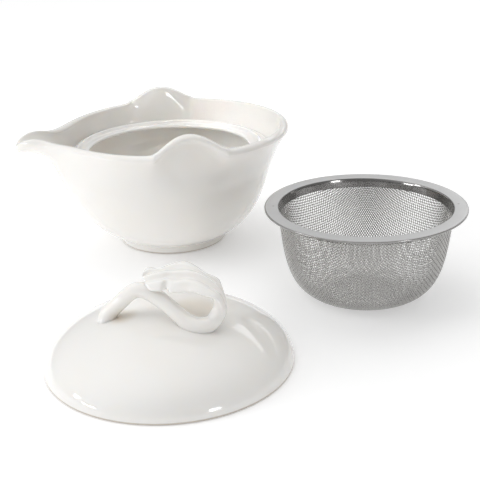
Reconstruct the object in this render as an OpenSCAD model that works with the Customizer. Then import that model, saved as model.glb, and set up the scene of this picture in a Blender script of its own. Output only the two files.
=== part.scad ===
// Handleless teapot: a porcelain bowl with a pouring beak and two finger lugs, a domed lid with a
// leaf-scroll knob, and a steel wire strainer. Millimetres, Z up, origin at the middle of the foot
// on the table, beak towards -X, lugs towards +Y and -Y. Lid and strainer stand beside the bowl.

/* [Strainer] */
// Outer diameter of the steel flange
flange_d = 93; // [88:0.2:100]
// Width of the flange, from its edge to the collar
flange_w = 7.2; // [6:0.2:8]
// Thickness of the sheet steel
sheet_t = 0.6; // [0.5:0.1:1]
// Inner radius of the bend from the flange into the collar
mouth_bend = 0.5; // [0.3:0.1:0.8]
// Height of the short collar that the wire cup is welded to
collar_h = 3.8; // [3:0.2:6]
// Depth of the wire cup below the flange
basket_h = 43; // [36:0.5:46]
// How much the cup narrows from its mouth to its bottom, on the radius
basket_taper = 5; // [3:0.2:6]
// Squareness of the cup's bottom corner: 2 is round, more is squarer
basket_corner = 4.4; // [3:0.1:5]
// Thickness of the woven wire cloth
mesh_t = 0.5; // [0.4:0.1:0.8]
// Rows of openings from the middle of the cup's bottom up to the collar, a coarse picture of the weave
mesh_rows = 7; // [4:1:8]
// Most openings in a row, round the cup
mesh_columns = 24; // [12:6:24]
// Width of the bars between the openings
mesh_bar = 3.4; // [2:0.2:4.6]

/* [Seat ring] */
// Play of the flange in its step, on the radius
flange_play = 0.5; // [0.3:0.1:1]
// Play of the wire cup in the ring's bore, on the radius
basket_play = 2.2; // [1.4:0.1:2.8]
// Width of the raised lip between the flange and the lid
lip_w = 1.6; // [1:0.1:2.4]
// Height of the lip above the strainer's step
lip_h = 1.6; // [1.2:0.1:3]
// Height of the lip above the lid's ledge
ledge_drop = 1.4; // [0.8:0.1:2.4]
// Height of the ring below the strainer's step
ring_h = 5; // [4:0.2:7]
// Thickness of the ring at its bore
ring_t = 1.6; // [1.2:0.1:2.6]
// Half the angle over which the ring bridges the way to the beak
bridge_angle = 42; // [30:1:55]
// How deep the ring is set in the wall
ring_set = 0.8; // [0.4:0.1:1.4]

/* [Bowl] */
// Thickness of the porcelain wall
wall = 3.2; // [2.6:0.1:4]
// Gap between the wire cup and the floor of the bowl
floor_gap = 1; // [0.8:0.1:4]
// Thickness of the floor
floor_t = 4.4; // [3.4:0.1:5.4]
// Outer diameter of the foot ring
foot_d = 56.5; // [50:0.5:62]
// Height of the foot ring
foot_h = 4.2; // [3.4:0.1:5]
// Width of the foot ring's standing face
foot_w = 3; // [2.4:0.1:4]
// Depth of the hollow under the foot
foot_hollow = 2.4; // [1.4:0.1:3]
// Play between the lid's edge and the wall of the neck, on the radius
neck_play = 1.6; // [0.8:0.1:3]
// Height of the belly's upper end
belly_h = 39; // [35:0.5:42]
// How far the belly's upper end stands in from the neck
belly_in = 3.4; // [2:0.1:5]
// Height over which the belly turns upright
belly_turn = 14; // [10:0.5:18]
// How far the wall leans out over that height
belly_lean = 3.7; // [2.5:0.1:5]
// How far the belly's lower bend stands in from its upper end
belly_tuck = 9; // [7:0.5:12]
// Height of the belly's lower bend above the foot
belly_low = 5; // [3:0.5:8]
// How far the rim flares out past the neck
flare_w = 3.6; // [2:0.1:6]
// Height of the rim above the lid's ledge
flare_h = 8.2; // [7:0.2:12]
// How far the rim's circle sits behind the foot's axis
rim_back = 3.2; // [0:0.1:4]

/* [Beak] */
// Distance of the beak's tip in front of the rim's circle
beak_reach = 21.4; // [14:0.2:26]
// How far the tip dips below the rim
beak_dip = 5; // [2:0.2:7]
// Angle off the middle at which half of the reach is gone
beak_spread = 9.5; // [7:0.5:13]
// Roundness of the beak in plan: more makes it squarer
beak_power = 2.4; // [2:0.1:3]
// Angle off the middle over which the dip of the tip fades
dip_spread = 4.6; // [3:0.2:7]
// How far the throat below the beak swells from the belly
throat_w = 9; // [5:0.5:12]
// Angle off the middle at which half of the swelling is gone, low on the belly
throat_spread = 30; // [20:1:40]

/* [Lugs] */
// Width of a lug along the rim
lug_w = 36; // [28:1:44]
// Height of a lug above the rim
lug_h = 9.4; // [6:0.2:14]
// How far the crest of a lug leans in from the rim
lug_in = 5; // [3:0.1:6]

/* [Lid] */
// Play between the lid's edge and the ring's lip, on the radius
lid_play = 0.5; // [0.3:0.1:1]
// Thickness of the lid's edge
lid_edge = 2.8; // [2:0.1:3.4]
// Height of the dome
dome_h = 22.5; // [16:0.5:28]
// Thickness of the dome at its crown
dome_t = 3; // [2.4:0.1:4]

/* [Knob] */
// Height of the arch of the stem above the dome's crown
arch_h = 10.9; // [9:0.1:14]
// Reach of the stem's foot to one side of the crown
stem_foot = 25; // [23:0.5:27.5]
// Reach of the curl to the other side of the crown
curl_reach = 21.6; // [19:0.2:24]
// How far the curl stands in front of the crown
curl_front = 14.5; // [12:0.5:17]
// How far the stem's foot stands in front of the crown
stem_front = 2.5; // [0:0.5:5]
// How deep the stem's foot is set in the dome
stem_sink = 1.4; // [0.8:0.1:2]
// Height of the curl's end above its lowest point
curl_rise = 11.4; // [10:0.2:13]
// Radius of the stem
stem_r = 3.2; // [2.6:0.1:3.6]
// Length of the leaf
leaf_l = 29.5; // [26:0.5:33]
// Width of the leaf at its middle
leaf_w = 16; // [13:0.5:20]
// Thickness of the leaf
leaf_t = 2.6; // [2:0.1:3.2]
// Height of the leaf's middle rib above the crown
leaf_h = 15.6; // [13:0.2:19]
// How far the leaf's end bends down
leaf_droop = 1.8; // [0:0.2:4]
// Tilt of the leaf towards the front
leaf_tilt = 17; // [0:1:30]
// Height of the leaf's crown across its width
leaf_crown = 1.6; // [0.5:0.1:3]
// Number of lobes along an edge of the leaf
lobes = 2.86; // [2.5:0.02:3.5]
// Depth of the notches between the lobes, as a share of the half width
lobe_depth = 0.3; // [0.1:0.02:0.4]
// How far the lobes of the back edge turn up
lobe_lift = 1.4; // [0:0.1:2.5]
// Number of ribs across the leaf
veins = 3; // [1:2:5]
// Depth of the grooves between the ribs
vein_depth = 0.6; // [0.2:0.1:0.9]

/* [Layout] */
// Free table between the lid and the bowl's rim
lid_gap = 29; // [10:1:60]
// Direction of the lid as seen from the bowl
lid_bearing = -98.8; // [-125:0.2:-97]
// Turn of the lid on the table
lid_turn = -11; // [-180:1:180]
// Free table between the strainer and the bowl's rim
strainer_gap = 15.5; // [5:0.5:40]
// Direction of the strainer as seen from the bowl
strainer_bearing = -52.2; // [-54:0.2:-20]

/* [Hidden] */
$fn = 96;

porcelain = [0.96, 0.95, 0.93];
steel = [0.72, 0.73, 0.75];

// Strainer
flange_r = flange_d / 2;
collar_in_r = flange_r - flange_w;
collar_r = collar_in_r + sheet_t;
weld_bite = 0.1;
mesh_in_r = collar_r - weld_bite;
mesh_r = mesh_in_r + mesh_t;
mesh_gap = mouth_bend + 0.1;
mesh_steps = 28;
stand_share = 0.012;

// Levels of the bowl, from the table up
hollow_z = foot_hollow;
floor_z = hollow_z + floor_t;
seat_z = floor_z + floor_gap + basket_h;
lip_z = seat_z + lip_h;
ledge_z = lip_z - ledge_drop;
ring_z = seat_z - ring_h;
rim_z = ledge_z + flare_h;

// Radii of the seat, from the strainer out to the rim
bore_r = mesh_r + basket_play;
step_r = flange_r + flange_play;
lip_r = step_r + lip_w;
lid_in_r = lip_r + lid_play;
lid_r = lid_in_r + lid_edge;
neck_in_r = lid_r + neck_play;
neck_r = neck_in_r + wall;
belly_r = neck_r - belly_in;
rim_r = neck_r + flare_w;
foot_r = foot_d / 2;
bridge_r = lip_r + wall / 2;

// Places on the table
lid_away = rim_r + rim_back + lid_gap + lid_r;
strainer_away = rim_r + rim_back + strainer_gap + flange_r;

function lerp(a, b, t) = a + (b - a) * t;
function clamp01(x) = min(1, max(0, x));
function smooth(x) = let (t = clamp01(x)) t * t * (3 - 2 * t);
function unit(v) = v / norm(v);
function bezier(p, t) =
    p[0] * pow(1 - t, 3) + p[1] * 3 * t * pow(1 - t, 2) + p[2] * 3 * t * t * (1 - t) + p[3] * pow(t, 3);
// Smooth curve through all points, t from 0 to 1
function along(p, t) = let (
    n = len(p) - 1,
    i = min(n - 1, floor(t * n)),
    f = t * n - i,
    a = p[max(0, i - 1)], b = p[i], c = p[i + 1], d = p[min(n, i + 2)]
) b + f / 2 * ((c - a) + f * ((2 * a - 5 * b + 4 * c - d) + f * (3 * b - a - 3 * c + d)));

// Closed skin over a grid of rings: every ring has the same number of points, both ends are capped
function skin_faces(rings, sides) = concat(
    [for (i = [0 : rings - 2], j = [0 : sides - 1]) let (k = (j + 1) % sides)
        each [[i * sides + j, (i + 1) * sides + j, i * sides + k],
              [i * sides + k, (i + 1) * sides + j, (i + 1) * sides + k]]],
    [for (j = [1 : sides - 2]) [0, j, j + 1]],
    [for (j = [1 : sides - 2]) let (o = (rings - 1) * sides) [o, o + j + 1, o + j]]
);

// Bowl: angle 0 is the beak. The samples of one half crowd at the beak, and a lug starts and ends on one.
lug_half = lug_w / 2 / rim_r * 180 / PI;
lug_at = 90 + asin(rim_back / rim_r);
beak_samples = 24;
lug_samples = 14;
back_samples = 18;
half_samples = beak_samples + lug_samples + back_samples;
angles = 2 * half_samples;
function half_angle(k) = let (l = k - beak_samples, b = l - lug_samples)
    l <= 0 ? (lug_at - lug_half) * pow(k / beak_samples, 1.5)
    : b <= 0 ? lug_at + lug_half * (2 * l / lug_samples - 1)
    : lerp(lug_at + lug_half, 180, b / back_samples);
function angle_at(i) = i <= half_samples ? half_angle(i) : -half_angle(angles - i);

// Outer profile of the wall: the belly from the foot to its upper end, then the flared neck
belly_steps = 9;
flare_steps = 9;
wall_steps = belly_steps + flare_steps;
start_r = foot_r - foot_w * 0.6;
belly_curve = [
    [start_r, foot_h * 0.75],
    [belly_r - belly_tuck, foot_h + belly_low],
    [belly_r - belly_lean, belly_h - belly_turn],
    [belly_r, belly_h]
];
neck_lean = (belly_curve[3] - belly_curve[2]) * 0.75;
flare_curve = [
    belly_curve[3],
    belly_curve[3] + neck_lean,
    [neck_r + flare_w * 0.22, rim_z - flare_h * 0.56],
    [rim_r, rim_z]
];
function wall_point(j) = j <= belly_steps
    ? bezier(belly_curve, j / belly_steps)
    : bezier(flare_curve, (j - belly_steps) / flare_steps);

// How far up the flare a step is, from 0 at the belly to 1 at the rim
function flare_share(j) = clamp01((j - belly_steps) / flare_steps);
// The rim is a circle that sits a little behind the foot's axis
function rim_shift(a) = sqrt(pow(rim_r, 2) - pow(rim_back * sin(a), 2)) - rim_back * cos(a) - rim_r;
// The beak: a bell curve over the angle, which widens into the throat further down
function beak_bell(a, j) = let (
    spread = lerp(throat_spread, beak_spread, pow(j / wall_steps, 1.5))
) 1 / (1 + pow(abs(a) / spread, beak_power));
function beak_swell(j) = let (z = wall_point(j)[1])
    throat_w * clamp01((z - foot_h) / (rim_z - foot_h)) + (beak_reach - throat_w) * pow(flare_share(j), 3);
function beak_drop(a) = beak_dip * exp(-pow(a / dip_spread, 2));
// A lug: a parabola along the rim that stands up and leans in. Its two corners are crisp at the rim and
// melt into the wall below it.
rim_corner = 0.1;
wall_corner = 0.6;
function lug_rise(a, f) = let (
    x = 1 - pow((abs(a) - lug_at) / lug_half, 2),
    corner = lerp(wall_corner, rim_corner, pow(f, 3))
) (x + sqrt(x * x + corner * corner)) / 2;

function outer(a, j) = let (p = wall_point(j), f = flare_share(j), lug = lug_rise(a, f) * smooth(f)) [
    p[0] + rim_shift(a) * f + beak_bell(a, j) * beak_swell(j) - lug_in * lug,
    p[1] - beak_drop(a) * f * f + lug_h * lug
];
lean_step = 0.1;
function outer_lean(a, j) =
    unit(outer(a, min(wall_steps, j + lean_step)) - outer(a, max(0, j - lean_step)));
function inner(a, j) = let (t = outer_lean(a, j)) outer(a, j) + wall * [-t[1], t[0]];
// The wall's inside starts at the first step that clears the floor, and bends into it
floor_start = 3;
floor_bend = wall * 1.6;
cap_steps = 3;
// One upright section of the wall: up the outside, over the round rim, down the inside
function section(a) = let (
    t = outer_lean(a, wall_steps),
    mid = (outer(a, wall_steps) + inner(a, wall_steps)) / 2,
    out = [t[1], -t[0]]
) concat(
    [[start_r, hollow_z]],
    [for (j = [0 : wall_steps]) outer(a, j)],
    [for (c = [1 : cap_steps]) let (b = 180 * c / (cap_steps + 1))
        mid + wall / 2 * (out * cos(b) + t * sin(b))],
    [for (j = [wall_steps : -1 : floor_start]) inner(a, j)],
    [[inner(a, floor_start)[0] - floor_bend, floor_z]]
);
section_points = 1 + wall_steps + 1 + cap_steps + wall_steps - floor_start + 1 + 1;

module pot_shell() {
    points = concat(
        [for (i = [0 : angles - 1]) let (a = angle_at(i))
            each [for (p = section(a)) [-p[0] * cos(a), -p[0] * sin(a), p[1]]]],
        [[0, 0, hollow_z], [0, 0, floor_z]]
    );
    n = section_points;
    bottom = angles * n;
    top = bottom + 1;
    faces = [for (i = [0 : angles - 1]) let (a = i * n, b = ((i + 1) % angles) * n) each concat(
        [for (j = [0 : n - 2]) each [[a + j, a + j + 1, b + j], [b + j, a + j + 1, b + j + 1]]],
        [[bottom, a, b], [top, b + n - 1, a + n - 1]]
    )];
    polyhedron(points, faces, convexity = 6);
}

module foot_ring() {
    edge = 0.5;
    rotate_extrude()
        polygon([
            [foot_r - foot_w, 0],
            [foot_r - edge, 0],
            [foot_r, edge],
            [foot_r + edge, foot_h],
            [foot_r - foot_w - edge, foot_h],
            [foot_r - foot_w - edge, edge]
        ]);
}

module pot_body() {
    color(porcelain)
        union() {
            pot_shell();
            foot_ring();
        }
}

// Section of the seat ring: lip, strainer step, bore and sloping underside, out into the wall
module ring_section() {
    round_off = lip_w / 4;
    set_r = neck_in_r + ring_set;
    polygon([
        [bore_r, seat_z - ring_t],
        [bore_r, seat_z],
        [step_r, seat_z],
        [step_r, lip_z - round_off],
        [step_r + round_off, lip_z],
        [lip_r - round_off, lip_z],
        [lip_r, lip_z - round_off],
        [lip_r, ledge_z],
        [set_r, ledge_z],
        [set_r, ring_z]
    ]);
}

// The ring is cut away behind its lip where the tea runs to the beak
module seat_ring() {
    color(porcelain)
        difference() {
            rotate_extrude()
                ring_section();
            rotate([0, 0, 180 - bridge_angle])
                rotate_extrude(angle = 2 * bridge_angle)
                    translate([bridge_r, 0])
                        square([neck_r, rim_z]);
        }
}

// Lid, in its own frame: axis on Z, edge on the table
dome_steps = 26;
function dome_arc(r, h) =
    [for (k = [0 : dome_steps]) [r * cos(90 * k / dome_steps), h * sin(90 * k / dome_steps)]];

module on_lid() {
    translate([lid_away * cos(lid_bearing), lid_away * sin(lid_bearing), 0])
        rotate([0, 0, lid_turn])
            children();
}

module lid_dome() {
    arc_out = dome_arc(lid_r, dome_h);
    arc_in = dome_arc(lid_in_r, dome_h - dome_t);
    color(porcelain)
        on_lid()
            rotate_extrude()
                polygon(concat(arc_out, [for (k = [dome_steps : -1 : 0]) arc_in[k]]));
}

function dome_z(x, y) = dome_h * sqrt(1 - (x * x + y * y) / pow(lid_r, 2));

// Knob: the stem's middle line, from its foot over the arch down to the dome and up round the curl,
// in shares of the reach to either side, of the way to the front and of the heights
stem_rings = 44;
stem_sides = 14;
arch_z = dome_h + arch_h;
foot_back = -0.15;
foot_z = dome_z(stem_foot, scroll_y(foot_back));
curl_z = dome_z(scroll_x(0.65), curl_front) + stem_r / 2;
function scroll_x(share) = share * (share < 0 ? stem_foot : curl_reach);
function scroll_y(share) = -lerp(stem_front, curl_front, share);
stem_line = [
    [scroll_x(-1), scroll_y(foot_back), foot_z - stem_sink],
    [scroll_x(-0.98), scroll_y(foot_back), foot_z + stem_r * 0.6],
    [scroll_x(-0.8), scroll_y(foot_back / 2), lerp(foot_z, arch_z, 0.48)],
    [scroll_x(-0.53), scroll_y(0.04), lerp(foot_z, arch_z, 0.94)],
    [scroll_x(-0.35), scroll_y(0.12), arch_z],
    [scroll_x(-0.19), scroll_y(0.21), lerp(arch_z, curl_z, 0.15)],
    [scroll_x(0), scroll_y(0.42), lerp(arch_z, curl_z, 0.38)],
    [scroll_x(0.23), scroll_y(0.67), lerp(arch_z, curl_z, 0.68)],
    [scroll_x(0.44), scroll_y(0.88), lerp(arch_z, curl_z, 0.92)],
    [scroll_x(0.65), scroll_y(1), curl_z],
    [scroll_x(0.87), scroll_y(0.96), curl_z + curl_rise * 0.09],
    [scroll_x(0.99), scroll_y(0.83), curl_z + curl_rise * 0.38],
    [scroll_x(1), scroll_y(0.67), curl_z + curl_rise * 0.68],
    [scroll_x(0.91), scroll_y(0.5), curl_z + curl_rise]
];
// Half thickness in the plane of the scroll, and half width across it
function stem_half(t) = [
    stem_r * (1 - 0.12 * smooth((t - 0.63) / 0.37)),
    stem_r * (1 + 0.3 * smooth((t - 0.58) / 0.42))
];
function sweep_ring(line, t, step, half, sides) = let (
    p = along(line, t),
    d = unit(along(line, min(1, t + step)) - along(line, max(0, t - step))),
    across = unit([0, 1, 0] - d[1] * d),
    up = cross(across, d)
) [for (k = [0 : sides - 1]) let (b = 360 * k / sides) p + up * half[0] * cos(b) + across * half[1] * sin(b)];

module knob_stem() {
    points = [for (i = [0 : stem_rings - 1]) let (t = i / (stem_rings - 1))
        each sweep_ring(stem_line, t, 0.01, stem_half(t), stem_sides)];
    color(porcelain)
        on_lid()
            polyhedron(points, skin_faces(stem_rings, stem_sides), convexity = 6);
}

// Leaf: it grows out of the end of the curl and folds back over the arch, tilted towards the front
leaf_rings = 44;
leaf_half_sides = 14;
root_grip = stem_r * 0.1;
root_share = 0.36;
leaf_z = dome_h + leaf_h;
curl_end = stem_line[len(stem_line) - 1];
leaf_line = [
    curl_end + stem_r * [0.38, -0.38, -0.75],
    curl_end + stem_r * [-0.44, 0.44, 0.75],
    [curl_reach - leaf_l * 0.3, scroll_y(0.21), leaf_z - leaf_droop * 0.1],
    [curl_reach - leaf_l * 0.56, scroll_y(0.09), leaf_z],
    [curl_reach - leaf_l * 0.8, scroll_y(0.01), leaf_z - leaf_droop * 0.1],
    [curl_reach - leaf_l, scroll_y(-0.04), leaf_z - leaf_droop]
];
// Half width of the blade: the stem's width at its root, broad at the middle, scalloped, round at its end
back_shift = 0.84;
front_shift = 0.13;
root_half = stem_half(1) + [root_grip, root_grip];
function lobe(t, shift) = abs(sin(180 * (lobes * t + shift)));
function leaf_half(t, shift) = let (
    scallop = lobe_depth * smooth((t - root_share) / 0.1) * pow(1 - lobe(t, shift), 1.5),
    blade = leaf_w / 2 * (1 - scallop)
) lerp(root_half[1], blade, smooth(t / root_share)) * sqrt(max(0.04, 1 - pow(t, 5)));
function leaf_ring(t) = let (
    p = along(leaf_line, t),
    d = unit(along(leaf_line, min(1, t + 0.01)) - along(leaf_line, max(0, t - 0.01))),
    grown = smooth(t / root_share),
    level = [0, cos(leaf_tilt * grown), sin(leaf_tilt * grown)],
    across = unit(level - (level * d) * d),
    up = cross(across, d),
    thick = lerp(2 * root_half[0], leaf_t, grown)
) [for (k = [0 : 2 * leaf_half_sides - 1]) let (
        over = k < leaf_half_sides,
        b = 180 * (over ? k : 2 * leaf_half_sides - k) / leaf_half_sides,
        v = -cos(b),
        w = leaf_half(t, v < 0 ? front_shift : back_shift),
        lift = v > 0 ? lobe_lift * lobe(t, back_shift) * v * v : 0,
        crown = grown * (leaf_crown * (1 - v * v) + lift),
        vein = over ? grown * vein_depth * (cos(180 * veins * v) - 1) * (1 - v * v) : 0,
        body = thick / 2 * pow(sin(b), lerp(1, 0.6, grown))
    ) p + across * w * v + up * (crown + (over ? body + vein : -body))];

module knob_leaf() {
    points = [for (i = [0 : leaf_rings - 1]) each leaf_ring(i / (leaf_rings - 1))];
    color(porcelain)
        on_lid()
            polyhedron(points, skin_faces(leaf_rings, 2 * leaf_half_sides), convexity = 6);
}

// Strainer, in its own frame: axis on Z, bottom of the wire cup on the table
module on_strainer() {
    translate([strainer_away * cos(strainer_bearing), strainer_away * sin(strainer_bearing), 0])
        children();
}

// Bend of the sheet from the flange into the collar, between two directions
function mouth_arc(r, from, to) = [for (k = [0 : 6]) let (
    a = lerp(from, to, k / 6)
) [collar_r + mouth_bend + r * cos(a), -mouth_bend + r * sin(a)]];

module strainer_rim() {
    hem = sheet_t * 1.6;
    color(steel)
        on_strainer()
            translate([0, 0, basket_h])
                rotate_extrude()
                    polygon([
                        [collar_in_r, -collar_h],
                        [collar_r, -collar_h],
                        each mouth_arc(mouth_bend, 180, 90),
                        [flange_r - hem, 0],
                        [flange_r - hem, sheet_t - hem],
                        [flange_r, sheet_t - hem],
                        [flange_r, sheet_t],
                        each mouth_arc(mouth_bend + sheet_t, 90, 180)
                    ]);
}

// Wire cup: radius at a share of its height, a tapered superellipse, cut off flat where it stands
function cup_r(r, s) =
    (r - basket_taper * (1 - s)) * pow(1 - pow(1 - s, basket_corner), 1 / basket_corner);
function cup_side(r, bottom) = [for (k = [0 : mesh_steps]) let (
    up = pow(k / mesh_steps, 1.8)
) [cup_r(r, lerp(stand_share, 1, up)), lerp(bottom, basket_h - mesh_gap, up)]];

// Outline of the cup from the middle of its bottom, with the way along it up to each point
cup_line = concat([[0, 0]], cup_side(mesh_r, 0));
cup_last = len(cup_line) - 1;
function cup_step(i) = i == 0 ? 0 : norm(cup_line[i] - cup_line[i - 1]);
cup_way = [for (i = 0, s = 0; i <= cup_last; i = i + 1, s = s + (i > cup_last ? 0 : cup_step(i))) s];
function cup_at(s) = [for (axis = [0, 1])
    lookup(s, [for (i = [0 : cup_last]) [cup_way[i], cup_line[i][axis]]])];
// The rows share the way up to the lower edge of the collar
collar_way = lookup(basket_h - collar_h, [for (i = [1 : cup_last]) [cup_line[i][1], cup_way[i]]]);
row_pitch = collar_way / (mesh_rows + 0.5);
row_growth = 6;

// Openings square to the cup's skin, row by row, with bars of one width between them
module weave_openings() {
    depth = mesh_t * 8;
    reach = 0.2;
    for (k = [1 : mesh_rows]) {
        p = cup_at(k * row_pitch);
        d = unit(cup_at(k * row_pitch + reach) - cup_at(k * row_pitch - reach));
        count = min(mesh_columns, row_growth * k);
        for (c = [0 : count - 1])
            rotate([0, 0, 360 * c / count])
                translate([p[0], 0, p[1]])
                    rotate([0, atan2(d[0], d[1]), 0])
                        cube([depth, 2 * PI * p[0] / count - mesh_bar, row_pitch - mesh_bar], center = true);
    }
}

module cup_shell() {
    inside = cup_side(mesh_in_r, mesh_t);
    rotate_extrude()
        polygon(concat(
            cup_line,
            [for (k = [mesh_steps : -1 : 0]) inside[k]],
            [[0, mesh_t]]
        ));
}

module strainer_mesh() {
    color(steel)
        on_strainer()
            difference() {
                cup_shell();
                weave_openings();
            }
}

pot_body();
seat_ring();
lid_dome();
knob_stem();
knob_leaf();
strainer_rim();
strainer_mesh();
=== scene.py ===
"""Looks of a handleless porcelain teapot that stands with its lid and its wire strainer beside it.

Every piece is a surface worked out with numpy from the sizes of the solids, with finer forms on the rim,
the seat and the leaf. All is in metres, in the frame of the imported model: Z up, origin under the bowl's
foot, the beak towards -X.
"""
import math

import bpy
import numpy as np
from mathutils import Matrix, Vector


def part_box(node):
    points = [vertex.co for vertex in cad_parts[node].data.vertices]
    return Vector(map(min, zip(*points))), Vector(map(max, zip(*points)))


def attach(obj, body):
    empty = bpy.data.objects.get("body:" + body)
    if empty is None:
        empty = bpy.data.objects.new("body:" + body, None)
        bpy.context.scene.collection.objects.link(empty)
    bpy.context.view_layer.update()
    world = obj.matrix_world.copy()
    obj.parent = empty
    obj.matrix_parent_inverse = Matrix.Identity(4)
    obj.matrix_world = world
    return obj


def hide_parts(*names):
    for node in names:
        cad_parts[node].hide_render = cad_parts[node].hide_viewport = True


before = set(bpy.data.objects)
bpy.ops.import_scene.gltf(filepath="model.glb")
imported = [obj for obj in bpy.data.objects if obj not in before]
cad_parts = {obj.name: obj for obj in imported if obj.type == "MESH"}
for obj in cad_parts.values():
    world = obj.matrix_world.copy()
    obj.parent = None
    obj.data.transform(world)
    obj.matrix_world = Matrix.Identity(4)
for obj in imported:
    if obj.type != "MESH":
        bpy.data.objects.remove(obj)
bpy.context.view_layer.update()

bl_info = {
    "name": "Handleless teapot",
    "version": (1, 0, 0),
    "blender": (4, 5, 0),
    "location": "View3D > Sidebar > Teapot",
    "description": "Builds a porcelain teapot with its lid and wire strainer on a plain studio floor",
    "category": "Object",
}

MM = 0.001
TAU = 2 * math.pi


def middle(node):
    """Centre of a node's box on the table."""
    low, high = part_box(node)
    return (low.x + high.x) / 2, (low.y + high.y) / 2


LID_LOW, LID_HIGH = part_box("lid_dome")
LID_R = (LID_HIGH.x - LID_LOW.x) / 2
RING_LOW, RING_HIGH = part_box("seat_ring")
FLANGE_LOW, FLANGE_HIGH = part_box("strainer_rim")
FLANGE_R = (FLANGE_HIGH.x - FLANGE_LOW.x) / 2
CUP_LOW, CUP_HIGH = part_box("strainer_mesh")
CUP_R = (CUP_HIGH.x - CUP_LOW.x) / 2
CLOTH_SPARE = 5 * MM  # cloth past the cup's edge, for the direction of the last crossings


def length(name, text, default):
    """A size in metres that the sidebar shows in the scene's unit."""
    return bpy.props.FloatProperty(
        name=name, description=text, default=default, subtype="DISTANCE", unit="LENGTH", precision=5)


def share(name, text, default):
    """A plain number."""
    return bpy.props.FloatProperty(name=name, description=text, default=default, precision=3)


def angle(name, text, degrees):
    """An angle, kept in radians."""
    return bpy.props.FloatProperty(
        name=name, description=text, default=math.radians(degrees), subtype="ANGLE", unit="ROTATION")


def colour(name, text, default):
    """A colour in linear light."""
    return bpy.props.FloatVectorProperty(
        name=name, description=text, default=default, size=3, min=0, max=1, subtype="COLOR")


class TeapotBowl(bpy.types.PropertyGroup):
    """Sizes of the bowl with its foot, beak and lugs."""
    wall: length("Wall", "Thickness of the porcelain wall", 3.2 * MM)
    floor_z: length("Floor", "Height of the bowl's floor above the table", 6.8 * MM)
    rim_bead: length("Rim bead", "How much thicker the wall gets towards the rim", 1.3 * MM)
    foot_r: length("Foot radius", "Outer radius of the foot ring", 28.25 * MM)
    foot_h: length("Foot height", "Height of the foot ring", 4.2 * MM)
    foot_w: length("Foot width", "Width of the foot ring's standing face", 3 * MM)
    hollow_z: length("Foot hollow", "Depth of the hollow under the foot", 2.4 * MM)
    belly_r: length("Belly radius", "Radius of the belly's upper end", LID_R + 1.4 * MM)
    belly_h: length("Belly height", "Height of the belly's upper end", 39 * MM)
    belly_turn: length("Belly turn", "Height over which the belly turns upright", 14 * MM)
    belly_lean: length("Belly lean", "How far the wall leans out over that height", 3.7 * MM)
    belly_tuck: length("Belly tuck", "How far the lower bend stands in from the upper end", 9 * MM)
    belly_low: length("Belly low", "Height of the lower bend above the foot", 5 * MM)
    neck_r: length("Neck radius", "Outer radius of the neck", LID_R + 4.8 * MM)
    flare_w: length("Flare", "How far the rim flares out past the neck", 3.6 * MM)
    flare_h: length("Flare height", "Height of the rim above the lid's ledge", 8.2 * MM)
    rim_z: length("Rim height", "Height of the rim above the table", 59.2 * MM)
    rim_back: length("Rim back", "How far the rim's circle sits behind the foot's axis", 3.2 * MM)
    beak_reach: length("Beak reach", "Distance of the tip in front of the rim's circle", 21.4 * MM)
    beak_dip: length("Beak dip", "How far the tip dips below the rim", 5 * MM)
    beak_spread: angle("Beak spread", "Angle at which half of the reach is gone", 9.5)
    beak_power: share("Beak power", "Roundness of the beak in plan", 2.4)
    dip_spread: angle("Dip spread", "Angle over which the dip of the tip fades", 4.6)
    throat_w: length("Throat", "How far the throat below the beak swells", 9 * MM)
    throat_spread: angle("Throat spread", "Angle at which half of the swelling is gone", 30)
    lug_w: length("Lug width", "Width of a lug along the rim", 36 * MM)
    lug_h: length("Lug height", "Height of a lug above the rim", 8.8 * MM)
    lug_in: length("Lug lean", "How far the crest of a lug leans in", 5 * MM)


class TeapotSeat(bpy.types.PropertyGroup):
    """Sizes of the ring inside the bowl that carries the strainer and the lid."""
    bore_r: length("Bore", "Radius of the bore", CUP_R + 2.2 * MM)
    step_r: length("Step", "Radius of the step for the strainer's flange", FLANGE_R + 0.5 * MM)
    seat_z: length("Seat", "Height of the strainer's step", RING_HIGH.z - 1.6 * MM)
    lip_w: length("Lip width", "Width of the raised lip", 2.3 * MM)
    lean: length("Lean", "How far the lip's flanks lean", 0.8 * MM)
    lip_h: length("Lip height", "Height of the lip above the step", 1.6 * MM)
    ledge_drop: length("Ledge drop", "Height of the lip above the lid's ledge", 1.4 * MM)
    ring_t: length("Ring edge", "Thickness of the ring at its bore", 1.6 * MM)
    bridge: angle("Bridge", "Half the angle over which the ring bridges the way to the beak", 42)
    bridge_w: length("Bridge width", "Width of the ring behind its lip at the beak", 1.6 * MM)


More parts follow.
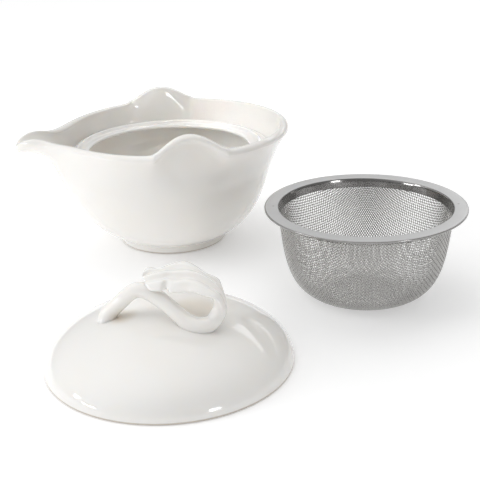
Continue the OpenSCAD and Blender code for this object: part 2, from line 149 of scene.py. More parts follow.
class TeapotLid(bpy.types.PropertyGroup):
    """Sizes of the lid's dome and of its leaf-scroll knob."""
    edge: length("Edge", "Thickness of the lid's edge", 2.8 * MM)
    dome_t: length("Crown", "Thickness of the dome at its crown", 3 * MM)
    turn: angle("Turn", "Turn of the lid on the table", -11)
    arch_h: length("Arch", "Height of the stem's arch above the crown", 10.9 * MM)
    stem_foot: length("Stem foot", "Reach of the stem's foot to one side", 25 * MM)
    curl_reach: length("Curl reach", "Reach of the curl to the other side", 21.6 * MM)
    curl_front: length("Curl front", "How far the curl stands in front of the crown", 14.5 * MM)
    stem_front: length("Stem front", "How far the stem's foot stands in front", 2.5 * MM)
    stem_sink: length("Stem sink", "How deep the stem's foot is set in the dome", 1.4 * MM)
    curl_rise: length("Curl rise", "Height of the curl's end above its lowest point", 11.4 * MM)
    stem_r: length("Stem radius", "Radius of the stem", 3.2 * MM)
    glaze_fill: length("Glaze fill", "Width of the glaze that fills the stem's corner", 0.8 * MM)
    leaf_l: length("Leaf length", "Length of the leaf", 29.5 * MM)
    leaf_w: length("Leaf width", "Width of the leaf at its middle", 16 * MM)
    leaf_t: length("Leaf thickness", "Thickness of the leaf", 3.4 * MM)
    leaf_h: length("Leaf height", "Height of the leaf's middle rib above the crown", 15.6 * MM)
    leaf_droop: length("Leaf droop", "How far the leaf's end bends down", 1.8 * MM)
    leaf_tilt: angle("Leaf tilt", "Tilt of the leaf towards the front", 17)
    leaf_crown: length("Leaf crown", "Height of the leaf's crown across its width", 1.6 * MM)
    lobe_lift: length("Lobe lift", "How far the lobes of the back edge turn up", 2.6 * MM)
    veins: share("Veins", "Number of ribs across the leaf", 3)
    vein_depth: length("Vein depth", "Depth of the grooves between the ribs", 0.55 * MM)


class TeapotStrainer(bpy.types.PropertyGroup):
    """Sizes of the strainer's flange and of its wire cloth."""
    flange_w: length("Flange", "Width of the flange, from its edge to the collar", 7.2 * MM)
    sheet_t: length("Sheet", "Thickness of the sheet steel", 0.6 * MM)
    bend_r: length("Bend", "Radius of the bend from the flange into the collar", 1.1 * MM)
    cup_t: length("Cup wall", "Thickness of the solid that stands for the wire cloth", 0.5 * MM)
    taper: length("Taper", "How much the cup narrows to its bottom, on the radius", 5 * MM)
    corner: share("Corner", "Squareness of the cup's bottom corner", 4.4)
    stand: share("Stand", "Share of the height at which the cup is cut off flat", 0.012)
    weld_turn: angle("Weld turn", "Turn that brings the two weld spots in line with X", 14)
    pitch: length("Pitch", "Distance from wire to wire", 1.25 * MM)
    wire_d: length("Wire", "Diameter of the wire", 0.42 * MM)
    crimp: length("Crimp", "How far a wire waves to either side of the cloth", 0.18 * MM)
    weave_turn: angle("Weave turn", "Direction of the warp on the table", 26.3)


class TeapotFinish(bpy.types.PropertyGroup):
    """Colours of the finishes."""
    glaze: colour("Glaze", "Colour of the glazed porcelain", (0.885, 0.87, 0.845))
    glaze_deep: colour("Pooled glaze", "Colour where the glaze lies thicker", (0.865, 0.845, 0.81))
    # Painted shade: a darker, warm colour under the knob's leaf and beside the stem's foot, where the knob
    # shades the dome. Its warmth is that of thicker glaze.
    knob_shade_and_pool: colour(
        "Glaze under the knob", "Colour where glaze gathers under the knob", (0.79, 0.745, 0.675))
    # Partly real, partly painted shade: the unglazed edge, made darker than unglazed porcelain is, so that it
    # also paints the contact shadow where the pieces meet the table.
    bisque_and_contact_shade: colour("Bare edge", "Colour of the unglazed edges", (0.56, 0.51, 0.45))
    sheet: colour("Sheet", "Colour of the sheet steel", (0.66, 0.66, 0.66))
    collar: colour("Collar", "Colour of the polished collar and of the weld spots", (0.34, 0.335, 0.33))
    wire: colour("Wire", "Colour of the steel wire", (0.61, 0.603, 0.59))
    floor: colour("Floor", "Colour of the studio floor", (0.93, 0.93, 0.93))


# Maths

def lerp(a, b, t):
    """a at share 0, b at share 1."""
    return a + (b - a) * t


def smooth(x):
    """0 below 0, 1 above 1, and an S-curve between."""
    t = np.clip(x, 0, 1)
    return t * t * (3 - 2 * t)


def unit(v):
    """Vectors of length 1 along the last axis."""
    return v / np.maximum(np.linalg.norm(v, axis=-1, keepdims=True), 1e-12)


def waves(t, places, values):
    """The values at the places, joined by S-curves."""
    places, values = np.asarray(places), np.asarray(values)
    i = np.clip(np.searchsorted(places, t) - 1, 0, len(places) - 2)
    return lerp(values[i], values[i + 1], smooth((t - places[i]) / (places[i + 1] - places[i])))


def bezier(points, t):
    """Cubic curve with four control points at shares t."""
    p = np.asarray(points, float)
    t = np.asarray(t, float)[:, None]
    return p[0] * (1 - t) ** 3 + 3 * p[1] * t * (1 - t) ** 2 + 3 * p[2] * t * t * (1 - t) + p[3] * t ** 3


def through(points, t):
    """Smooth curve through all points: each cubic takes its slopes from the points on either side."""
    p = np.asarray(points, float)
    n = len(p) - 1
    i = np.minimum(n - 1, (t * n).astype(int))
    f = (t * n - i)[:, None]
    a, b, c, d = p[np.maximum(i - 1, 0)], p[i], p[i + 1], p[np.minimum(i + 2, n)]
    return b + f / 2 * ((c - a) + f * ((2 * a - 5 * b + 4 * c - d) + f * (3 * b - a - 3 * c + d)))


def rounded(points, radius, steps=7, closed=True):
    """A polygon with its corners rounded: each corner is a curve between points on its two edges, with a
    support point beyond either end that keeps the flats flat in the shading."""
    p = np.asarray(points, float)
    back, ahead = np.roll(p, 1, 0) - p, np.roll(p, -1, 0) - p
    size_back, size_ahead = (np.linalg.norm(e, axis=1, keepdims=True) for e in (back, ahead))
    r = np.broadcast_to(np.asarray(radius, float).reshape(-1, 1), (len(p), 1))
    cut_back, cut_ahead = np.minimum(r, size_back * 0.46), np.minimum(r, size_ahead * 0.46)
    start, end = p + back / size_back * cut_back, p + ahead / size_ahead * cut_ahead
    t = np.linspace(0, 1, steps)[None, :, None]
    bend = start[:, None] * (1 - t) ** 2 + 2 * p[:, None] * t * (1 - t) + end[:, None] * t * t
    before = p + back / size_back * np.minimum(cut_back * 1.3, size_back * 0.49)
    after = p + ahead / size_ahead * np.minimum(cut_ahead * 1.3, size_ahead * 0.49)
    line = np.concatenate([before[:, None], bend, after[:, None]], axis=1)
    if closed:
        return line.reshape(-1, 2)
    return np.concatenate([p[:1], line[1:-1].reshape(-1, 2), p[-1:]])


# Meshes

def make_piece(name, points, faces, body, slot, material, *nodes):
    """Puts a mesh into the scene as a piece that rides on a body and stands for the nodes."""
    mesh = bpy.data.meshes.new(name)
    corners = np.concatenate([f.ravel() for f in faces]).astype(np.int32)
    sizes = np.concatenate([np.full(len(f), f.shape[1], np.int32) for f in faces])
    mesh.vertices.add(len(points))
    mesh.vertices.foreach_set("co", np.ascontiguousarray(points, np.float32).ravel())
    mesh.loops.add(len(corners))
    mesh.loops.foreach_set("vertex_index", corners)
    mesh.polygons.add(len(sizes))
    mesh.polygons.foreach_set("loop_start", np.concatenate([[0], np.cumsum(sizes)[:-1]]).astype(np.int32))
    mesh.polygons.foreach_set("use_smooth", np.ones(len(sizes), bool))
    mesh.update(calc_edges=True)
    if mesh.validate():
        raise RuntimeError(f"{name} has faces that can't be built")
    mesh.materials.append(material)
    piece = bpy.data.objects.new(name, mesh)
    bpy.context.scene.collection.objects.link(piece)
    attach(piece, body)
    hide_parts(*nodes)


def skin(rows, closed=False, start=None, end=None):
    """Points and faces over a grid of rings. The rings run round, the rows run up the outside. The rows
    close into a tube ring, or a single point closes the first or the last ring."""
    count, around = rows.shape[:2]
    number = np.arange(count * around).reshape(count, around)
    low, high = (number, np.roll(number, -1, 0)) if closed else (number[:-1], number[1:])
    quads = np.stack([low, np.roll(low, -1, 1), np.roll(high, -1, 1), high], -1).reshape(-1, 4)
    points, faces = [rows.reshape(-1, 3)], [quads]
    for tip, ring, ahead in ((start, np.roll(number[0], -1), number[0]),
                             (end, number[-1], np.roll(number[-1], -1))):
        if tip is not None:
            hub = np.full(around, count * around + len(points) - 1)
            faces.append(np.stack([hub, ring, ahead], -1))
            points.append(np.asarray(tip, float).reshape(1, 3))
    return np.concatenate(points), faces


def turned(profile, centre, around=256):
    """A profile of (radius, height) carried round an upright axis."""
    a = np.arange(around) / around * TAU
    r, z = profile[:, :1], profile[:, 1:]
    return np.stack([centre[0] + r * np.cos(a), centre[1] + r * np.sin(a), z + 0 * a], -1)


def swept(line, t, half, sides):
    """An oval tube along a curve: rings stand square to it, one axis level with the lid's front."""
    p = through(line, t)
    d = unit(through(line, np.minimum(1, t + 0.01)) - through(line, np.maximum(0, t - 0.01)))
    level = np.array([0.0, 1.0, 0.0])
    across = unit(level - d * d[:, 1:2])
    up = np.cross(across, d)
    b = np.arange(sides) / sides * TAU
    return (p[:, None] + up[:, None] * (half[0][:, None] * np.cos(b))[..., None]
            + across[:, None] * (half[1][:, None] * np.sin(b))[..., None])


# Bowl

def bowl_angles(p):
    """Angles off the beak round the whole bowl: they crowd at the beak and on the lugs."""
    rim_r = p.neck_r + p.flare_w
    lug_half = p.lug_w / 2 / rim_r
    lug_at = math.pi / 2 + math.asin(p.rim_back / rim_r)
    lug_reach = lug_half * 1.15
    to_lug, on_lug, to_back = 76, 52, 36
    half = np.concatenate([
        (lug_at - lug_reach) * (np.arange(to_lug) / to_lug) ** 1.5,
        lerp(lug_at - lug_reach, lug_at + lug_reach, np.arange(on_lug) / on_lug),
        lerp(lug_at + lug_reach, math.pi, np.arange(to_back + 1) / to_back),
    ])
    return np.concatenate([half, -half[-2:0:-1]]), lug_at, lug_half


def bowl_surface(p):
    """The bowl as rows of rings, from the middle of the foot's hollow over the foot, up the outside, over
    the round rim, down the inside and along the floor.

    The outside is a profile of two cubic curves, belly and flare. Four terms change it round the axis:
    a bell curve over the angle pulls it out into the beak, narrower the higher it is; a narrower one dips
    the beak's tip; a parabola over the angle raises a lug on either side and leans it in; and the rim's
    circle sits a little behind the foot's axis. The inside is the outside moved in by the wall, square to
    the profile, and the wall thickens into a bead at the rim.
    """
    a, lug_at, lug_half = bowl_angles(p)
    a = a[None, :]
    off = np.abs(a)
    rim_r = p.neck_r + p.flare_w
    belly = np.array([
        [p.foot_r - p.foot_w * 0.6, p.foot_h * 0.75],
        [p.belly_r - p.belly_tuck, p.foot_h + p.belly_low],
        [p.belly_r - p.belly_lean, p.belly_h - p.belly_turn],
        [p.belly_r, p.belly_h],
    ])
    flare = np.array([
        belly[3],
        belly[3] + (belly[3] - belly[2]) * 0.75,
        [p.neck_r + p.flare_w * 0.22, p.rim_z - p.flare_h * 0.56],
        [rim_r, p.rim_z],
    ])
    belly_rows, flare_rows, inner_belly_rows = 44, 56, 28
    low, high = np.linspace(0.1, 1, belly_rows), np.linspace(0, 1, flare_rows + 1)[1:]
    profile = np.concatenate([bezier(belly, low), bezier(flare, high)])
    r, z = profile[:, :1], profile[:, 1:]
    f = np.concatenate([0 * low, high])[:, None]
    climb = np.concatenate([low / 2, 0.5 + high / 2])[:, None]

    spread = lerp(p.throat_spread, p.beak_spread, climb ** 1.5)
    bell = 1 / (1 + (off / spread) ** p.beak_power)
    swell = p.throat_w * np.clip((z - p.foot_h) / (p.rim_z - p.foot_h), 0, 1)
    swell = swell + (p.beak_reach - p.throat_w) * f ** 3
    drop = p.beak_dip * np.exp(-(a / p.dip_spread) ** 2)
    shift = np.sqrt(rim_r ** 2 - (p.rim_back * np.sin(a)) ** 2) - p.rim_back * np.cos(a) - rim_r
    x = 1 - ((off - lug_at) / lug_half) ** 2
    soft = lerp(0.6, 0.10, f ** 3)
    rise = (x + np.sqrt(x * x + soft ** 2)) / 2 * smooth(f)

    out = np.stack([r + shift * f + bell * swell - p.lug_in * rise, z - drop * f * f + p.lug_h * rise], -1)
    lean = unit(np.gradient(out, axis=0))
    square = np.stack([-lean[..., 1], lean[..., 0]], -1)
    inside = out + (p.wall + p.rim_bead * f ** 6)[..., None] * square
    b = np.linspace(0, math.pi, 15)[1:-1, None, None]
    rim = (out[-1] + inside[-1]) / 2 + p.wall / 2 * lean[-1] * np.sin(b)
    rim = rim + (out[-1] - inside[-1]) / 2 * np.cos(b)

    wall = inside[::-1][: flare_rows + inner_belly_rows]
    edge = wall[-1]
    way = unit(wall[-1] - wall[-2])
    bend_end = edge + way * ((p.floor_z - edge[:, 1:]) / np.minimum(way[:, 1:], -0.2))
    floor_bend = 3.4 * MM
    floor_at = np.stack([bend_end[:, 0] - floor_bend, np.full(a.shape[1], p.floor_z)], -1)
    t = np.linspace(0, 1, 10)[1:, None, None]
    bend = edge * (1 - t) ** 2 + 2 * bend_end * t * (1 - t) + floor_at * t * t
    floor = floor_at * [1, 0] * np.array([0.7, 0.35])[:, None, None] + [0, p.floor_z]

    fillet = 0.5 * MM
    foot = rounded([
        [0, p.hollow_z],
        [p.foot_r - p.foot_w - fillet, p.hollow_z],
        [p.foot_r - p.foot_w - fillet / 2, 0],
        [p.foot_r, 0],
        [p.foot_r + fillet * 0.85, p.foot_h * 0.93],
        profile[0] + [0.2 * MM, 0],
    ], np.array([0, 0.8, 0.8, 0.7, 0.7, 0]) * MM, closed=False)[1:-1]
    foot = np.broadcast_to(foot[:, None], (len(foot), a.shape[1], 2))

    rows = np.concatenate([foot, out, rim, wall, bend, floor])
    rows = np.stack([-rows[..., 0] * np.cos(a), -rows[..., 0] * np.sin(a), rows[..., 1]], -1)
    return skin(rows, start=[0, 0, p.hollow_z], end=[0, 0, p.floor_z])


def seat_surface(p, wall_r):
    """The seat ring: a rounded section with a leaning lip, carried round the axis. At the beak all that lies
    beyond the bridge's radius is drawn in to it, which leaves the gap that the tea runs through."""
    lip_r, lip_z = p.step_r + p.lip_w, p.seat_z + p.lip_h
    ledge_z, under_z = lip_z - p.ledge_drop, RING_LOW.z
    section = rounded([
        [p.bore_r, p.seat_z - p.ring_t],
        [wall_r, under_z],
        [wall_r, ledge_z],
        [lip_r + p.lean, ledge_z],
        [lip_r - p.lean / 2, lip_z],
        [p.step_r + p.lean, lip_z],
        [p.step_r - p.lean / 2, p.seat_z],
        [p.bore_r, p.seat_z],
    ], np.array([0.7, 0.3, 2.6, 2.2, 1.5, 1.5, 1.4, 1.3]) * MM)
    around = 288
    a = np.arange(around) / around * TAU
    off = np.abs((a + math.pi) % TAU - math.pi)
    fade = math.radians(2.5)
    reach = lerp(lip_r + p.bridge_w, wall_r, smooth((off - p.bridge) / fade + 0.5))[None, :]
    full_r, full_z = section[:, :1], section[:, 1:]
    r = np.minimum(full_r, reach)
    slope = (p.seat_z - p.ring_t - under_z) / (wall_r - p.bore_r)
    raised = np.maximum(full_z, np.minimum(under_z + slope * (wall_r - r), ledge_z - 0.2 * MM))
    z = np.where((full_r > lip_r) & (full_z < ledge_z - 0.3 * MM), raised, full_z)
    rows = np.stack([-r * np.cos(a), -r * np.sin(a), z], -1)
    return skin(rows, closed=True)


# Lid

def on_lid(points, turn):
    """Points of the lid's own frame, turned and set down where the lid stands."""
    c, s = math.cos(turn), math.sin(turn)
    spin = np.array([[c, s, 0], [-s, c, 0], [0, 0, 1]])
    return points @ spin + np.array([*middle("lid_dome"), 0])


def dome_z(x, y):
    """Height of the dome's outside: an ellipse turned round the axis."""
    return LID_HIGH.z * np.sqrt(np.maximum(0, 1 - (x * x + y * y) / LID_R ** 2))


def dome_surface(p):
    """The dome: an outer and an inner quarter ellipse, joined by a round edge and turned round the axis."""
    t = np.linspace(0, math.pi / 2, 66)
    outer = np.stack([LID_R * np.cos(t), LID_HIGH.z * np.sin(t)], -1)
    inner_r = LID_R - p.edge
    inner = np.stack([inner_r * np.cos(t), (LID_HIGH.z - p.dome_t) * np.sin(t)], -1)
    corners = [inner[1], [inner_r, 0], [LID_R, 0], outer[1]]
    edge = rounded(corners, np.array([0, 0.9, 0.7, 0]) * MM, closed=False)
    profile = np.concatenate([inner[-2:1:-1], edge, outer[2:-1]])
    crown = LID_HIGH.z
    centre = middle("lid_dome")
    return skin(turned(profile, centre), start=[*centre, crown - p.dome_t], end=[*centre, crown])


def scroll(p):
    """The stem's middle line from its foot over the arch to the dome and up round the curl, in the lid's
    own frame, and the function for the place to the front, which the leaf takes over."""
    def x(s):
        return s * (p.stem_foot if s < 0 else p.curl_reach)

    def y(s):
        return -lerp(p.stem_front, p.curl_front, s)

    arch = LID_HIGH.z + p.arch_h
    foot_back = -0.15
    foot = float(dome_z(p.stem_foot, y(foot_back)))
    curl = float(dome_z(x(0.65), p.curl_front)) + p.stem_r / 2
    rise = p.curl_rise
    line = np.array([
        [x(-1), y(foot_back), foot - p.stem_sink],
        [x(-0.98), y(foot_back), foot + p.stem_r * 0.6],
        [x(-0.8), y(foot_back / 2), lerp(foot, arch, 0.48)],
        [x(-0.53), y(0.04), lerp(foot, arch, 0.94)],
        [x(-0.35), y(0.12), arch],
        [x(-0.19), y(0.21), lerp(arch, curl, 0.15)],
        [x(0), y(0.42), lerp(arch, curl, 0.38)],
        [x(0.23), y(0.67), lerp(arch, curl, 0.68)],
        [x(0.44), y(0.88), lerp(arch, curl, 0.92)],
        [x(0.65), y(1), curl],
        [x(0.87), y(0.96), curl + rise * 0.09],
        [x(0.99), y(0.83), curl + rise * 0.38],
        [x(1), y(0.67), curl + rise * 0.68],
        [x(0.91), y(0.5), curl + rise],
    ])
    return line, y


def stem_half(p, t):
    """Half thickness of the stem in the plane of the scroll, and half width across it."""
    thick = p.stem_r * (1 - 0.12 * smooth((t - 0.63) / 0.37))
    wide = p.stem_r * (1 + 0.3 * smooth((t - 0.58) / 0.42))
    return thick, wide


def stem_surface(p):
    """The stem: an oval tube along the scroll that ends inside the leaf's root. Close to the dome it widens,
    as glaze fills the corner."""
    line, _ = scroll(p)
    end, fade = 0.86, 0.9 * MM
    t = np.linspace(0, end, 150)
    rows = swept(line, t, stem_half(p, t), 32)
    core = through(line, t)[:, None]
    above = rows[..., 2] - dome_z(rows[..., 0], rows[..., 1])
    fill = p.glaze_fill * np.exp(-np.maximum(above, 0) / fade)
    aside = rows - core
    aside[..., 2] *= 0.2
    rows = rows + unit(aside) * fill[..., None]
    tips = core[0, 0], core[-1, 0]
    return rows, tips


def leaf_surface(p):
    """The leaf: oval rings along a line that leaves the stem at the curl and folds back over the arch.

    Its half width grows from the stem's own to the leaf's. Soft dips cut the back edge into three lobes that
    turn up, one sharp notch cuts the front edge into two drops, and on either side a fold runs in from one of
    these cuts. The upper face is crowned and carries ribs that sway on their way to the lobes."""
    line, y = scroll(p)
    z = LID_HIGH.z + p.leaf_h
    rib = np.array([
        *line[-4:],
        [p.curl_reach - p.leaf_l * 0.3, y(0.23), z - p.leaf_droop * 0.2],
        [p.curl_reach - p.leaf_l * 0.56, y(0.09), z],
        [p.curl_reach - p.leaf_l * 0.8, y(0.01), z - p.leaf_droop * 0.1],
        [p.curl_reach - p.leaf_l, y(-0.04), z - p.leaf_droop],
    ])
    t = 1 - (1 - np.linspace(0, 1, 150)) ** 1.25
    middle_line = through(rib, t)
    d = unit(through(rib, np.minimum(1, t + 0.01)) - through(rib, np.maximum(0, t - 0.01)))
    tilt = p.leaf_tilt * smooth((t - 0.3) / 0.3)
    level = np.stack([0 * t, np.cos(tilt), np.sin(tilt)], -1)
    across = unit(level - d * (level * d).sum(-1, keepdims=True))
    up = np.cross(across, d)

    sides = 96
    b = np.arange(sides) / sides * TAU
    v, over = -np.cos(b), b <= math.pi
    t = t[:, None]
    grown = smooth((t - 0.1) / 0.5)
    at = [0, 0.4, 0.47, 0.55, 0.69, 0.87, 0.965, 1]
    back = waves(t, at, [1, 1, 1.1, 0.78, 1.1, 0.78, 1, 1])
    lift = waves(t, at, [0, 0.1, 0.5, 0.1, 0.7, 0.15, 1, 0.9]) * p.lobe_lift
    front = waves(t, [0, 0.55, 0.73, 0.785, 0.83, 0.92, 1], [1, 1, 1.12, 0.8, 1.02, 1, 0.9])
    on_stem = np.minimum(1, (10 + 7 * t) / 13)  # the rib starts at number 10 of the stem's points 0 to 13
    root = [h * lerp(0.97, 1.06, smooth(t / 0.2)) for h in stem_half(p, on_stem)]
    half = lerp(root[1], p.leaf_w / 2 * np.where(v < 0, front, back), grown)
    half = half * np.sqrt(np.maximum(0.03, 1 - t ** 14))
    crown = p.leaf_crown * (1 - v * v) + lift * np.where(v > 0, v * v, 0)
    sway = p.veins * v + 0.35 * np.sin(TAU * 1.2 * t)
    fold = sum(np.exp(-((t - place + 0.15 * (1 - np.abs(v))) / 0.035) ** 2) * (v * side > 0)
               for place, side in ((0.79, -1), (0.87, 1)))
    vein = (np.cos(math.pi * sway) - 1) * (1 - v * v) - 1.2 * fold * np.abs(v) * (1 - v * v)
    thick = lerp(root[0], p.leaf_t / 2, grown) * np.abs(np.sin(b))
    height = grown * crown + np.where(over, thick + grown * p.vein_depth * vein, -thick)
    rows = middle_line[:, None] + across[:, None] * (half * v)[..., None] + up[:, None] * height[..., None]
    return rows, (rows[0].mean(0), rows[-1].mean(0))


# Strainer

def flange_surface(p):
    """The flange and collar: the section of the pressed sheet, carried round the axis. The mouth is one cubic
    curve from the flat of the flange into the collar, the outer hem is rolled."""
    inner, top = FLANGE_R - p.flange_w, FLANGE_HIGH.z
    low, under = FLANGE_LOW.z, top - p.sheet_t
    hem = p.sheet_t * 1.6
    outside = rounded([
        [inner, low],
        [inner + p.sheet_t * 0.7, low],
        [inner + p.sheet_t, under],
        [FLANGE_R - hem, under],
        [FLANGE_R - hem, top - hem],
        [FLANGE_R, top - hem],
        [FLANGE_R, top],
        [inner + p.bend_r, top],
    ], np.array([0, 0.15, 0.5, 0.1, 0.2, 0.45, 0.45, 0]) * MM, steps=9, closed=False)
    mouth = bezier([
        [inner + p.bend_r, top],
        [inner + p.bend_r * 0.4, top],
        [inner + p.bend_r * 0.35, lerp(top, low, 0.3)],
        [inner, low],
    ], np.linspace(0, 1, 20)[1:-1])
    return skin(turned(np.concatenate([outside, mouth]), middle("strainer_rim"), 288), closed=True)


def cup_profile(p):
    """Arc length, radius and height along the middle of the wire cloth, from the middle of its bottom: a flat
    round, then a tapered superellipse that steps out to pass the collar, and a short straight end."""
    up = np.concatenate([[0.0], np.linspace(0, 1, 500) ** 1.8])
    s = lerp(p.stand, 1, up)
    r = (CUP_R - p.cup_t / 2 - p.taper * (1 - s)) * (1 - (1 - s) ** p.corner) ** (1 / p.corner)
    z = lerp(CUP_LOW.z + p.crimp + p.wire_d / 2, CUP_HIGH.z, up)
    step_h = 5 * MM
    r = r + p.crimp * 1.6 * smooth((z - FLANGE_LOW.z) / step_h + 1)
    r[0] = 0
    r, z = np.append(r, r[-1]), np.append(z, z[-1] + CLOTH_SPARE)
    run = np.concatenate([[0], np.cumsum(np.hypot(np.diff(r), np.diff(z)))])
    return run, r, z


def cloth_crossings(p):
    """Where the wires cross, on the middle of the cloth, with the cloth's outward normal.

    A crossing's distance from the middle of the flat cloth is its way up the cup. Deep drawing keeps the
    cloth's own two directions square and shears it between them: the direction on the cup is the one
    on the flat cloth plus a quarter of the draw-in times the sine of four times itself.
    """
    run, radius, height = cup_profile(p)
    most = run[-1] - CLOTH_SPARE
    n = int(most / p.pitch) + 3
    place = (np.arange(-n, n) + 0.5) * p.pitch
    u, v = np.meshgrid(place, place, indexing="ij")
    way = np.hypot(u, v)
    r, z = np.interp(way, run, radius), np.interp(way, run, height)
    flat = np.arctan2(v, u)
    draw = np.clip(1 - r / way, 0, 0.9)
    turn = flat
    for _ in range(40):
        turn = flat + draw / 4 * np.sin(4 * turn)
    turn = turn + p.weave_turn
    step = 0.05 * MM
    dr = np.interp(way + step, run, radius) - np.interp(way - step, run, radius)
    dz = np.interp(way + step, run, height) - np.interp(way - step, run, height)
    centre = middle("strainer_mesh")
    points = np.stack([centre[0] + r * np.cos(turn), centre[1] + r * np.sin(turn), z], -1)
    normal = unit(np.stack([dz * np.cos(turn), dz * np.sin(turn), -dr], -1))
    return points, normal, way <= most


def wire_family(points, normal, within, p, over):
    """One family of wires: four-sided tubes along the second axis of the grid of crossings. At each crossing
    the wire stands a crimp to one side of the cloth, and at the next to the other."""
    i, j = np.indices(within.shape)
    side = np.where((i + j) % 2 == over, 1.0, -1.0)[..., None]
    core = points + normal * side * p.crimp
    d = unit(np.gradient(core, axis=1))
    out = unit(normal - d * (normal * d).sum(-1, keepdims=True))
    across = np.cross(d, out)
    b = np.arange(4) * math.pi / 2
    rings = core[..., None, :] + p.wire_d / 2 * (
        out[..., None, :] * np.cos(b)[:, None] + across[..., None, :] * np.sin(b)[:, None])
    number = np.full(within.shape, -1)
    number[within] = np.arange(within.sum())
    joined = within[:, :-1] & within[:, 1:]
    low, high = (4 * n[joined][:, None] + np.arange(4) for n in (number[:, :-1], number[:, 1:]))
    quads = np.stack([low, np.roll(low, -1, 1), np.roll(high, -1, 1), high], -1).reshape(-1, 4)
    before, after = np.zeros_like(within), np.zeros_like(within)
    before[:, 1:], after[:, :-1] = within[:, :-1], within[:, 1:]
    first, last = within & ~before, within & ~after
    caps = np.concatenate([
        4 * number[first][:, None] + [3, 2, 1, 0], 4 * number[last][:, None] + [0, 1, 2, 3]])
    return rings[within].reshape(-1, 3), [quads, caps]


# Finishes

class Line:
    """One output of a node. Arithmetic on it adds the Math nodes for it."""

    def __init__(self, finish, socket):
        self.finish = finish
        self.socket = socket

    def maths(self, operation, a, b):
        return self.finish.node("ShaderNodeMath", {"operation": operation}, {0: a, 1: b})

    def __add__(self, other):
        return self.maths("ADD", self, other)

    def __radd__(self, other):
        return self.maths("ADD", other, self)

    def __sub__(self, other):
        return self.maths("SUBTRACT", self, other)

    def __rsub__(self, other):
        return self.maths("SUBTRACT", other, self)

    def __mul__(self, other):
        return self.maths("MULTIPLY", self, other)

    def __rmul__(self, other):
        return self.maths("MULTIPLY", other, self)


class Nodes:
    """The node tree of a material or of the world, with one shader."""

    def __init__(self, owner, shader, output):
        owner.use_nodes = True
        self.tree = owner.node_tree
        self.tree.nodes.clear()
        self.shader = self.tree.nodes.new(shader)
        out = self.tree.nodes.new(output)
        self.tree.links.new(self.shader.outputs[0], out.inputs["Surface"])

    def join(self, node, sockets):
        """Sets values on a node's sockets, or links them."""
        for name, value in sockets.items():
            if isinstance(value, Line):
                self.tree.links.new(value.socket, node.inputs[name])
            else:
                node.inputs[name].default_value = value

    def node(self, kind, settings, sockets, output=0):
        """Adds a node: its settings first, then its sockets."""
        node = self.tree.nodes.new(kind)
        for name, value in settings.items():
            setattr(node, name, value)
        self.join(node, sockets)
        return Line(self, node.outputs[output])

    def surface(self, **sockets):
        """Sets or links the shader's sockets."""
        self.join(self.shader, {k.replace("_", " "): v for k, v in sockets.items()})


class Finish(Nodes):
    """A material with one surface shader."""

    def __init__(self, name, **constants):
        self.material = bpy.data.materials.new(name)
        super().__init__(self.material, "ShaderNodeBsdfPrincipled", "ShaderNodeOutputMaterial")
        self.surface(**constants)

    def place(self, centre=(0, 0, 0)):
        """Object coordinates, counted from a centre."""
        at = self.node("ShaderNodeTexCoord", {}, {}, "Object")
        return self.node("ShaderNodeVectorMath", {"operation": "SUBTRACT"}, {0: at, 1: centre})

    def noise(self, at, size, detail=2.0):
        """Cloudy noise from 0 to 1 whose patches are about that size in metres."""
        return self.node("ShaderNodeTexNoise", {}, {"Vector": at, "Scale": 1 / size, "Detail": detail})

    def fade(self, value, start, end):
        """0 where the value is at start or before, 1 at end or beyond."""
        return self.node("ShaderNodeMapRange", {"interpolation_type": "SMOOTHSTEP"}, {
            "Value": value, "From Min": start, "From Max": end, "To Min": 0.0, "To Max": 1.0})

    def blend(self, factor, a, b):
        """Colour a where the factor is 0, b where it is 1."""
        a, b = (x if isinstance(x, Line) else (*x, 1) for x in (a, b))
        first, second, result = 6, 7, 2  # the colour sockets of a Mix node
        sockets = {"Factor": factor, first: a, second: b}
        return self.node("ShaderNodeMix", {"data_type": "RGBA"}, sockets, result)

    def bump(self, height, strength, distance):
        """A normal from a height."""
        return self.node("ShaderNodeBump", {}, {"Height": height, "Strength": strength, "Distance": distance})

    def turned(self, at, turn):
        """A place turned round the upright axis."""
        return self.node("ShaderNodeVectorRotate", {"rotation_type": "Z_AXIS"}, {"Vector": at, "Angle": turn})

    def part(self, at, axis):
        """One part of a vector."""
        return self.node("ShaderNodeSeparateXYZ", {}, {"Vector": at}, axis)


def glazed_porcelain(c):
    """White porcelain under a clear gloss glaze: faint warm clouds, a barely uneven skin, painted shade under
    the knob and beside its foot in the warm tone of thicker glaze, and unglazed edges where the pieces stand
    in the kiln, darkened as a painted contact shadow."""
    f = Finish("glazed_porcelain", Specular_IOR_Level=0.5, Coat_Roughness=0.03, Coat_IOR=1.5,
               Subsurface_Weight=0.35, Subsurface_Radius=(1.0, 0.85, 0.7), Subsurface_Scale=4 * MM)
    at = f.place()
    cloud = f.noise(at, 42 * MM)
    fine = f.noise(at, 5 * MM, 3.0)
    # The lowest millimetre of every porcelain piece is unglazed and rough, and its colour is dark as a
    # painted contact shadow.
    bare_and_shade = 1 - f.fade(f.part(at, "Z"), 0.5 * MM, 0.9 * MM)
    glaze = f.blend(f.fade(cloud, 0.35, 0.75), c.glaze, c.glaze_deep)
    x, y = middle("lid_dome")
    # Painted shade under the knob's leaf and beside the stem's foot: near two points the glaze darkens to a
    # warm tone, where the knob shades the dome.
    for shade_spot, reach in (((x + 12 * MM, y, 22 * MM), 15 * MM), ((x - 18 * MM, y + 2 * MM, 20 * MM), 8 * MM)):
        near = f.node("ShaderNodeVectorMath", {"operation": "DISTANCE"}, {0: at, 1: shade_spot}, "Value")
        glaze = f.blend(1 - f.fade(near, reach * 0.3, reach), glaze, c.knob_shade_and_pool)
    f.surface(
        Base_Color=f.blend(bare_and_shade, glaze, c.bisque_and_contact_shade),
        Roughness=0.04 + 0.03 * fine + 0.5 * bare_and_shade,
        Coat_Weight=0.35 - 0.35 * bare_and_shade,
        Normal=f.bump(cloud + 0.12 * fine, 0.10, 0.5 * MM),
    )
    return f.material


